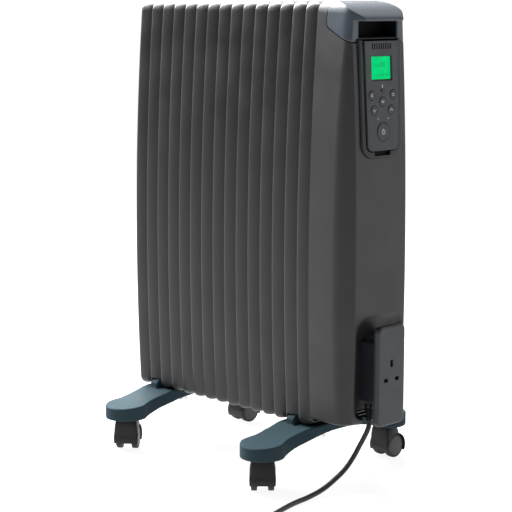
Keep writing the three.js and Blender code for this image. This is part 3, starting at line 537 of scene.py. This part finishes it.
# ---- end cover --------------------------------------------------------------------
def cover_outline(z, inset, start, end_x):
    front = depth_at(z) - inset
    end = end_x - inset
    crease = min(CREASE_HALF - (end_x - end_at(z)), depth_at(z) - 1.2) - inset
    run = front - crease
    tangent = min(FILLET_TANGENT, 0.8 * run)
    corner, d = end - run, tangent * math.sqrt(0.5)
    c = min(1.6, 0.12 * run)
    half = [(start, front)] + bend((corner - tangent, front), (corner, front), (corner + d, front - d), 8)
    half += bend((end - c, crease + c), (end, crease), (end, crease - 1.4 * c), 4)
    return [(x, y, z) for x, y in half + [(x, -y) for x, y in reversed(half)]]


LEVELS = [(97, 4), (97.4, 2.6), (98.4, 1.1), (99.6, 0.3), (101, 0)] + [(z, 0) for z in range(120, 641, 20)]
TOPS = [(651, 0), (654, 0.45), (656.5, 1.15), (658.5, 2), (660.6, 3.5), (662.2, 5), (663.5, 6.7),
        (664.7, 8.9),
        (665.6, 11), (666, 13)]
OPEN_START = COVER_START - 6


def cover_form(name, levels, wall, start, end_x=None, look=None):
    return solid(name, [cover_outline(z, inset + wall, start, end_x or end_at(z)) for z, inset in levels],
                 look)


def pocket(grow, flare):
    """Scoop in the end face. With flare, its rim is rounded over where it meets the curved face."""
    wide = round_rect(-44 - grow, 44 + grow, 104 - grow, 243 + grow, 16 + grow)
    deep = round_rect(-39 - grow, 39 + grow, 107 - grow, 214 + grow, 12 + grow)

    def at(share, spread):
        ring = []
        for (y0, z0), (y1, z1) in zip(deep, wide):
            y, z = y0 + (y1 - y0) * share, z0 + (z1 - z0) * share
            away = Vector((y, z - 173)).normalized()
            ring.append((y + away.x * spread, z + away.y * spread))
        return ring

    rings = [[(189 - grow, y, z) for y, z in at(0, -3.2 if flare else 0)]]
    if flare:
        for deeper, inside in ((0.9, -1.3), (2.4, -0.4), (4.5, 0)):
            rings.append([(189 + deeper, y, z) for y, z in at(deeper / 17.7, inside)])
        for short, spread in ((3.4, 0), (2.1, 0.35), (1.1, 1.0), (0.4, 1.9), (0, 2.9), (-0.6, 4.5)):
            rings.append([(end_at(z) - short, y, z) for y, z in at(1 - short / 17.7, spread)])
        rings.append([(216, y, z) for y, z in at(1, 5)])
    else:
        rings += [[(x, y, z) for y, z in wide] for x in (206.7, 216)]
    return rings


SEAM = [(154.3, 636), (154.3, 654), (157.5, 660), (163, 668), (230, 668), (230, 606.5), (205, 609.5),
        (186, 616),
        (165.6, 627), (157.5, 631)]
SEAM_GAP = 0.75


def panel_outline(grow):
    return ([(41.5 + grow, 81 + grow), (-41.5 - grow, 81 + grow)] + arc(-18, -54, 22 + grow, 188, 262, 9)
            + arc(18, -54, 22 + grow, 278, 352, 9))


cover = cover_form("end_cover_shell", LEVELS + TOPS, 0, COVER_START, look=COVER_PAINT)
hollow = cover_form("hollow", [(99.2, 0)] + [(z, 0) for z in range(130, 641, 30)]
                    + [(z - 2.2, inset) for z, inset in TOPS], COVER_WALL, OPEN_START)
cut(cover, hollow)
tub = solid("tub", pocket(COVER_WALL, False))
common(tub, cover_form("fit", LEVELS + TOPS, 0.05, COVER_START))
add(cover, tub)
seam = rounded([(x - (0.5 if x < 200 else 0), z - (SEAM_GAP if z < 640 else 0)) for x, z in SEAM])
cut(cover, solid("scoop", pocket(0, True)), prism("seam", "y", seam, -80, 80),
    prism("panel", "x", panel_outline(0.5), -12, 20, None, ON_PANEL),
    prism("notch", "z", round_rect(184, 216, -26, -6, 4), 95, 112),
    *[prism("vent", "z", round_rect(x, x + 5, -34, 34, 2.4), 94, 101.5) for x in (148, 160, 172)])
ready(cover, "heater", ["end_cover"], 34, True)


# ---- handle cap ---------------------------------------------------------------------
CAP_TOP = [(140, 666.4), (154, 666.4), (164, 665.7), (174, 663.4), (184, 659.5), (192, 655.3), (199, 650.8),
           (204.5, 646.9), (207.4, 644.2), (208.3, 642), (209, 600), (140, 600)]
CAP_TOP_INNER = [(130, 664.2), (153.6, 664.2), (163.4, 663.5), (173.2, 661.2), (183, 657.4), (190.8, 653.3),
                 (197.5, 649), (197.5, 600), (130, 600)]
cap = cover_form("handle_moulding", [(600, 0), (612, 0), (630, 0), (642, 0)] + TOPS, 0, COVER_START,
                 CAP_LIP_X,
                 CAP_PLASTIC)
common(cap, prism("seam", "y", rounded(SEAM), -80, 80), prism("top", "y", rounded(CAP_TOP, 2), -80, 80))
cut(cap, block(end_at(625), 220, -80, 80, 590, LIP_UNDER))
walls = block(168, end_at(625) - 0.1, -RECESS_HALF - 2, RECESS_HALF + 2, RECESS_FLOOR - 2, LIP_UNDER + 2)
kept = bpy.data.objects.new("kept", cap.data.copy())
scene.collection.objects.link(kept)
common(walls, kept)
inside = cover_form("inside", [(590, 0), (612, 0), (640, 0)] + [(z - 2.2, i) for z, i in TOPS], COVER_WALL,
                    OPEN_START,
                    end_at(610))
common(inside, prism("roof", "y", CAP_TOP_INNER, -80, 80))
cut(cap, inside)
add(cap, walls)
cut(cap, block(170, 216, -RECESS_HALF, RECESS_HALF, RECESS_FLOOR, LIP_UNDER),
    prism("panel", "x", panel_outline(0.5), -12, 20, None, ON_PANEL))
soften(cap, 0.8, 5)
ready(cap, "heater", ["handle_cap"], 60)

# Painted shade: a near-black box lines the hand recess, standing in for the shade inside it.
recess_shade = block(170.2, end_at(625) - 1.6, -RECESS_HALF + 0.1, RECESS_HALF - 0.1, RECESS_FLOOR + 0.1,
              LIP_UNDER - 0.1)
recess_shade.name = "painted_recess_shade"
recess_shade.data.materials.append(PAINTED_SHADE)
cut(recess_shade, block(171.4, 220, -RECESS_HALF + 1.2, RECESS_HALF - 1.2, RECESS_FLOOR + 1.2, LIP_UNDER - 1.2))
ready(recess_shade, "heater")


# ---- control panel --------------------------------------------------------------------
def fascia_outline(grow):
    return ([(33 + grow, 79 + grow), (-33 - grow, 79 + grow)] + arc(-20.5, -56.5, 10 + grow, 180, 270, 7)
            + arc(20.5, -56.5, 10 + grow, 270, 360, 7))


def panel_rings(outline_at, levels):
    return [[(x, y, z) for y, z in outline_at(grow)] for x, grow in levels]


surround = solid("panel_frame",
                 panel_rings(panel_outline, [(-3.6, 0), (0.4, 0), (1.5, -0.3), (2.2, -0.9), (2.6, -2)]),
                 SURROUND_PLASTIC, ON_PANEL)
opening = solid("opening", panel_rings(fascia_outline,
                                       [(-5, 1.3), (1.7, 1.3), (2.2, 1.5), (2.6, 2.1), (4, 3.6)]), None,
                ON_PANEL)
cut(surround, opening, block(-5, 5, -35.2, 35.2, 70, 90, ON_PANEL),
    prism("slot", "x", round_rect(-16, 16, -73.2, -60, 2), -5, 5, None, ON_PANEL))
ready(surround, "heater", ["control_surround"], 34, True)
# Painted shadow: a near-black plate behind the slot under the fascia stands in for the shade inside the slot.
slot_shade = prism("painted_slot_shade", "x", round_rect(-15.5, 15.5, -75, -59.5, 2.5), -3.5, -2.2, PAINTED_SHADE, ON_PANEL)
ready(slot_shade, "heater")

BUTTONS = {"mode": (-20.9, 7.3, 6.2), "set": (20.9, 7.3, 6.2), "menu": (0, -1.4, 6.2),
           "down": (-16.8, -12.7, 6.2),
           "up": (16.8, -12.7, 6.2), "power": (0, -41.5, 12.2)}
fascia = solid("fascia_panel", panel_rings(fascia_outline, [(1.6, 0), (3.8, 0), (4.3, -0.25), (4.6, -0.8)]),
               FASCIA_PLASTIC, ON_PANEL)


def window_ring(x, side, low, high):
    return [(x, y, z) for y, z in round_rect(-side, side, low, high, 1.0, 3)]


window = solid("window", [window_ring(0, 19.5, 28.3, 58.3), window_ring(2.4, 19.5, 28.3, 58.3),
                          window_ring(4.6, 20.6, 25.9, 59.2), window_ring(9, 22.8, 21.1, 61)], None, ON_PANEL)
holes = [turned("hole", [(0, 0), (r + 0.55, 0), (r + 0.45, 4.3), (r + 0.65, 4.65), (r + 0.65, 9), (0, 9)], 40,
                None,
                ON_PANEL @ Matrix.Translation((0, y, z)) @ UP_TO_X) for y, z, r in BUTTONS.values()]
holes.append(turned("hole", [(0, 0), (3.5, 0), (3.5, 9), (0, 9)], 24, None,
                    ON_PANEL @ Matrix.Translation((0, 0, 12.9)) @ UP_TO_X))
vents = [prism("vent", "x", round_rect((i - 4) * 4.4 - 1.1, (i - 4) * 4.4 + 1.1, 67.6, 76, 1.0, 3), 0, 9,
               None, ON_PANEL)
         for i in range(9)]
cut(fascia, window, *holes, *vents)
ready(fascia, "heater", ["control_fascia"], 30, True)

display = prism("display_glass", "x", round_rect(-21.5, 21.5, 26.5, 60.5, 1.5, 4), -1.6, 1.2, SCREEN,
                ON_PANEL)
ready(bevelled(display, 0.4, 2), "heater", ["display_screen"])
# Generic display marks: a level gauge and a row of small status squares.
bars = [(-9 + 3.2 * i, -6.6 + 3.2 * i, 44, 47 + 1.1 * i) for i in range(6)]
bars += [(-13 + 6 * i, -10 + 6 * i, 32.4, 35.4) for i in range(5)]
for i, (y0, y1, z0, z1) in enumerate(bars):
    mark = prism(f"display_mark_{i:02d}", "x", round_rect(y0, y1, z0, z1, 0.4, 2), 1.15, 1.32, SEGMENT,
                 ON_PANEL)
    ready(mark, "heater")

lens = turned("infrared_lens", [(0, -0.8), (4.6, -0.8), (4.6, 1.2), (3.3, 1.2), (3.3, 4.2), (2.7, 4.6),
                                (1.4, 4.75),
                                (0, 5)], 28, LENS, ON_PANEL @ Matrix.Translation((0, 0, 12.9)) @ UP_TO_X)
ready(lens, "heater", ["signal_window"])


def stroke(points, width, y, z):
    """Flat ribbon of ink along points, just proud of a key's face."""
    left, right = [], []
    for i, p in enumerate(points):
        a, b = Vector(points[max(i - 1, 0)]), Vector(points[min(i + 1, len(points) - 1)])
        side = (b - a).normalized().orthogonal() * width / 2
        left.append((p[0] + side.x + y, p[1] + side.y + z))
        right.append((p[0] - side.x + y, p[1] - side.y + z))
    return left + right[::-1]


CHEVRON = [(-3.1, 1.5), (0, -1.6), (3.1, 1.5)]
ICONS = {
    "mode": [arc(0, 0, 1.5, 20, 340, 14)],
    "set": [[(-2.4, 1), (2.4, 1)], [(-2.4, -1), (2.4, -1)]],
    "menu": [[(-2.6, 0.9), (2.6, 0.9)], [(-2.6, -0.9), (2.6, -0.9)]],
    "down": [CHEVRON],
    "up": [[(a, -b) for a, b in CHEVRON]],
    "power": [arc(0, 0, 3.0, 125, 415, 20), [(0, 0.6), (0, 4.2)]],
}


def ink(name, strokes, width, y, z, face, body):
    for i, points in enumerate(strokes):
        mark = prism(f"{name}_{i}", "x", stroke(points, width, y, z), face - 0.1, face + 0.12, INK, ON_PANEL)
        ready(mark, body)


for name, (y, z, r) in BUTTONS.items():
    top = FASCIA_FACE + 0.55
    profile = [(0, -0.7), (r + 1.3, -0.7), (r + 1.3, 1.3), (r, 1.3), (r, top - 0.75), (r - 0.15, top - 0.35),
               (r - 0.5, top - 0.08), (r - 1.1, top), (r * 0.6, top - 0.12), (0, top - 0.16)]
    key = turned(f"key_{name}", profile, 48, BUTTON_PLASTIC,
                 ON_PANEL @ Matrix.Translation((0, y, z)) @ UP_TO_X)
    ready(key, f"button_{name}", [f"button_{name}"])
    ink(f"icon_{name}", ICONS[name], 0.95 if name == "power" else 0.75, y, z, top - 0.14, f"button_{name}")
ink("panel_mark_top", [[(0, -2.2), (0, 2.2)]], 1.3, 0, 18.9, FASCIA_FACE, "heater")
for side in (-1, 1):
    ink(f"panel_mark_{'left' if side < 0 else 'right'}", [[(0, -1), (0, 1)]], 1.1, side * 10, -24,
        FASCIA_FACE, "heater")


# ---- cord winder ------------------------------------------------------------------------
winder = solid("winder_plate", [[(x, y, z)
                                 for y, z in round_rect(-WINDER_HALF + i, WINDER_HALF - i, WINDER_LOW + i,
                                                        WINDER_HIGH - i, 8 - i * 0.7)]
                                for x, i in ((220, 1.4), (220.4, 0.6), (221.4, 0), (226, 0), (227.2, 0.35),
                                             (228.2, 1.05),
                                             (228.8, 2.0), (229, 3.4))], WINDER_PLASTIC)
pillar = solid("pillar", [[(x, y, z) for y, z in round_rect(-20 - g, 20 + g, 124 - g, 212 + g, 6)]
                          for x, g in ((189.3, 0), (215, 0), (218.5, 0.8), (221, 3))])
add(winder, pillar)


def slot_cut(y, z, half_y, half_z):
    return solid("slot", [[(x, a, b) for a, b in round_rect(y - half_y - g, y + half_y + g, z - half_z - g,
                                                           z + half_z + g, 0.8 + g, 4)]
                          for x, g in ((206, 0), (228.1, 0), (228.7, 0.2), (229.1, 0.8), (231, 2.4))])


cut(winder, slot_cut(0, 181, 2.4, 4.6), slot_cut(-PIN_HALF_SPACING, 158.8, 3.6, 2.4),
    slot_cut(PIN_HALF_SPACING, 158.8, 3.6, 2.4))
ready(winder, "heater", ["cord_winder"], 34, True)


# ---- feet -----------------------------------------------------------------------------------
plan_half = arc(0, PAD_Y, PAD_R, 90, -20, 18) + [(24.5, 104), (23, 96), (22.9, 88), (24, 80), (26.3, 71),
                                                 (28.5, 62),
                                                   (29.7, 50), (30, 40), (30, 0)]
left_half = arc(0, PAD_Y, PAD_R, 90, 190, 16) + [(-32, 90), (-31, 60), (-30, 0)]


def mirrored(half):
    return half + [(x, -y) for x, y in reversed(half[:-1])]


foot_plan = mirrored(plan_half)[:-1] + list(reversed(mirrored(left_half)))[:-1]
side_half = [(160, PAD_TOP - 2.4), (150, PAD_TOP - 0.6), (130, PAD_TOP + 0.9), (110, PAD_TOP + 2.1),
             (97, 74.3),
             (84, 77.2), (74, 80), (66, 82.3), (58, 83.7)]
arch_half = [(0, 72), (16, 71.8), (30, 70.8), (42, 69.4), (52, 67.4), (64, 64.3), (76, 60.6), (86, 57.2),
             (94, 54.4),
             (104, 51.4), (112, PAD_UNDER), (160, PAD_UNDER)]
foot_side = (arch_half + side_half + [(-y, z) for y, z in reversed(side_half)]
             + [(-y, z) for y, z in reversed(arch_half[1:])])
for label, x in FOOT_X.items():
    foot = prism(f"foot_moulding_{label}", "z", [(x + a, b) for a, b in foot_plan], 40, 100, FOOT_PLASTIC)
    common(foot, prism("side", "x", foot_side, x - 60, x + 60))
    lugs = [prism("lug", "x", [(s * y, z) for y, z in ((51, 78), (66, 78), (66, 91), (60, 96.5), (51, 96.5))],
                  x - 14, x)
            for s in (-1, 1)]
    add(foot, *lugs)
    bores = [turned("bore", [(0, 49), (7.2, 49), (7.2, 65.8), (0, 65.8)], 24, None,
                    Matrix.Translation((x, s * PAD_Y, 0)))
             for s in (-1, 1)]
    bores.append(turned("bore", [(0, 60), (2.7, 60), (2.7, 100), (0, 100)], 20, None,
                        Matrix.Translation((x + 2.9, -18.7, 0))))
    cut(foot, *bores)
    soften(foot, 1.15, 6, 0.5)
    ready(foot, "heater", [f"foot_{label}"], 60)


# ---- castors ------------------------------------------------------------------------------------
hood_side = [(15.4, -1), (16.4, 4), (17.5, 9), (18.15, 14), (18.3, 19), (18.15, 26), (17.6, 33), (16.8, 39),
             (15.9, 44.5),
             (15.2, 47.6), (14.4, 49), (13, 49.6)]
HOOD_FRONT = hood_side + [(-a, b) for a, b in reversed(hood_side)]
NECK_LEVELS = ((17.5, 18.3, -11.5, 17), (28, 18.1, -11.4, 16.5), (34, 17.8, -11.2, 15.8), (40, 17, -11, 15),
               (46, 15.8, -10, 12.6), (48.6, 15, -9.2, 11.2),
               (49.2, 14, -8.2, 10.2))


def castor(name, x, y, swing):
    place = Matrix.Translation((x, y, 0)) @ Matrix.Rotation(math.radians(swing), 4, "Z")

    def wheel_plane(points):
        return [(CASTOR_TRAIL - a, b + WHEEL_R) for a, b in points]

    rings = []
    for across, inset in ((-HOOD_HALF, 0.8), (-17.9, 0.3), (-17.2, 0.05), (-12, 0), (12, 0), (17.2, 0.05),
                          (17.9, 0.3),
                          (HOOD_HALF, 0.8)):
        outline = arc(0, 0, HOOD_R - inset, 208, -20, 26) + arc(0, 0, WHEEL_R + 0.7, -20, 208, 22)
        rings.append([(across, a, b) for a, b in wheel_plane(outline)])
    hood = solid(f"castor_hood_{name}_shell", rings, BLACK_PLASTIC, place)
    web = arc(0, 0, WHEEL_R + 1.5, 208, -20, 20) + [(4, -5), (-4, -7)]
    neck = [[(a, b, z) for a, b in round_rect(-half, half, front, back, 4.5)]
            for z, half, front, back in NECK_LEVELS]
    add(hood, prism("web", "x", wheel_plane(web), -2.4, 2.4, None, place), solid("neck", neck, None, place))
    to_axle = place @ Matrix.Translation((0, CASTOR_TRAIL, WHEEL_R)) @ UP_TO_X
    for side in (-1, 1):
        cut(hood, turned("clear", [(0, side * 2.4), (WHEEL_R + 0.6, side * 2.4), (WHEEL_R + 0.6, side * 22),
                                   (0, side * 22)],
                         40, None, to_axle))
    common(hood, prism("barrel", "y", HOOD_FRONT, -30, 40, None, place))
    add(hood, turned("axle", [(0, -11.8), (2.5, -11.8), (2.5, 11.8), (0, 11.8)], 20, None, to_axle),
        turned("stem", [(0, 45), (5.5, 45), (5.5, 62.6), (4.6, 63.6), (0, 63.6)], 24, None, place))
    ready(hood, f"castor_{name}", [f"castor_hood_{name}"], 34)
    for label, side in (("a", -1), ("b", 1)):
        tread = [(2.9, 6.9), (12.5, 6.9), (13.2, 7.6), (16.6, 7.6), (17.3, 8.1), (17.5, 9), (17.5, 14.3),
                 (17.2, 15.4),
                 (16.4, 16.0), (15.7, 16.1), (15.2, 15.7), (15.2, 12), (2.9, 12), (2.9, 6.9)]
        hub = [(0, 12.1), (15, 12.1), (15, 15.3), (14.7, 15.75), (14.1, 16.0), (12, 16.25), (8, 16.5),
               (4.4, 16.6),
               (0, 16.62)]
        for part, profile, look in (("tread", tread, TREAD), ("hub", hub, HUB)):
            wheel = turned(f"wheel_{part}_{label}_{name}", [(r, side * h) for r, h in profile], 48, look,
                           to_axle)
            nodes = [f"castor_wheel_{label}_{name}"] if part == "tread" else []
            ready(wheel, f"wheel_{label}_{name}",
                  nodes, 30)


for name, x, y, swing in (("front_left", FOOT_X["left"], -PAD_Y, 40),
                          ("front_right", FOOT_X["right"], -PAD_Y, 46),
                          ("rear_left", FOOT_X["left"], PAD_Y, 180),
                          ("rear_right", FOOT_X["right"], PAD_Y, 0)):
    castor(name, x, y, swing)

# ---- CAD nodes that stay as they are --------------------------------------------------------------
LOOKS = {"oil_vessel": STEEL, "heating_element": STEEL, "heat_shield": STEEL, "control_board": BOARD,
         "thermal_cutout": BRIGHT, "tilt_switch": BLACK_PLASTIC, "foot_hook_left": BRIGHT,
         "foot_hook_right": BRIGHT,
         "foot_nut_left": BRIGHT, "foot_nut_right": BRIGHT}
for node, look in LOOKS.items():
    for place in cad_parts[node].material_slots:
        place.material = look

# ---- floor and light ----------------------------------------------------------------------------------
FLOOR_HALF = 14
floor_mesh = bpy.data.meshes.new("floor")
floor_mesh.from_pydata([(-FLOOR_HALF, -FLOOR_HALF, 0), (FLOOR_HALF, -FLOOR_HALF, 0),
                        (FLOOR_HALF, FLOOR_HALF, 0),
                        (-FLOOR_HALF, FLOOR_HALF, 0)], [], [(0, 1, 2, 3)])
floor_mesh.materials.append(material("floor", (0.12, 0.12, 0.12), 0.7, grain=30, bump=0.01, blotch=1,
                                     spread=0.01,
                                     edge=0, specular=0.1))
floor = bpy.data.objects.new("floor", floor_mesh)
scene.collection.objects.link(floor)


def softbox(name, place, target, width, height, power):
    lamp = bpy.data.lights.new(name, "AREA")
    lamp.shape, lamp.size, lamp.size_y, lamp.energy = "RECTANGLE", width, height, power
    holder = bpy.data.objects.new(name, lamp)
    holder.location = place
    holder.rotation_euler = (Vector(target) - Vector(place)).to_track_quat("-Z", "Y").to_euler()
    scene.collection.objects.link(holder)


floor_look = floor_mesh.materials[0].node_tree.nodes["Principled BSDF"]
floor_look.inputs["Emission Color"].default_value = (1, 1, 1, 1)
floor_look.inputs["Emission Strength"].default_value = 0.92

softbox("key_left", (-2.2, -1.9, 2.3), (0, 0, 0.6), 1.2, 1.8, 9)
softbox("top_front", (-0.8, -1.3, 1.6), (0, 0, 0.66), 0.7, 0.7, 6.5)
softbox("fill_right", (1.9, 2.1, 1.2), (0.1, 0, 0.35), 1.2, 1.8, 9)
softbox("overhead", (-1.9, 0.3, 2.4), (0, 0, 0.6), 3.0, 2.4, 560)

world = bpy.data.worlds.new("studio")
world.use_nodes = True
scene.world = world
nodes, links = world.node_tree.nodes, world.node_tree.links
place = nodes.new("ShaderNodeTexCoord")
toward = nodes.new("ShaderNodeVectorMath")
toward.operation = "DOT_PRODUCT"
toward.inputs[1].default_value = (-math.sin(AZIMUTH), math.cos(AZIMUTH), 0)
shade = nodes.new("ShaderNodeMapRange")
shade.inputs["From Min"].default_value = -0.2
shade.inputs["From Max"].default_value = 0.9
shade.inputs["To Min"].default_value = 0.08
shade.inputs["To Max"].default_value = 1.05
links.new(place.outputs["Generated"], toward.inputs[0])
links.new(toward.outputs["Value"], shade.inputs["Value"])
links.new(shade.outputs["Result"], nodes["Background"].inputs["Strength"])
nodes["Background"].inputs["Color"].default_value = (1, 1, 1, 1)
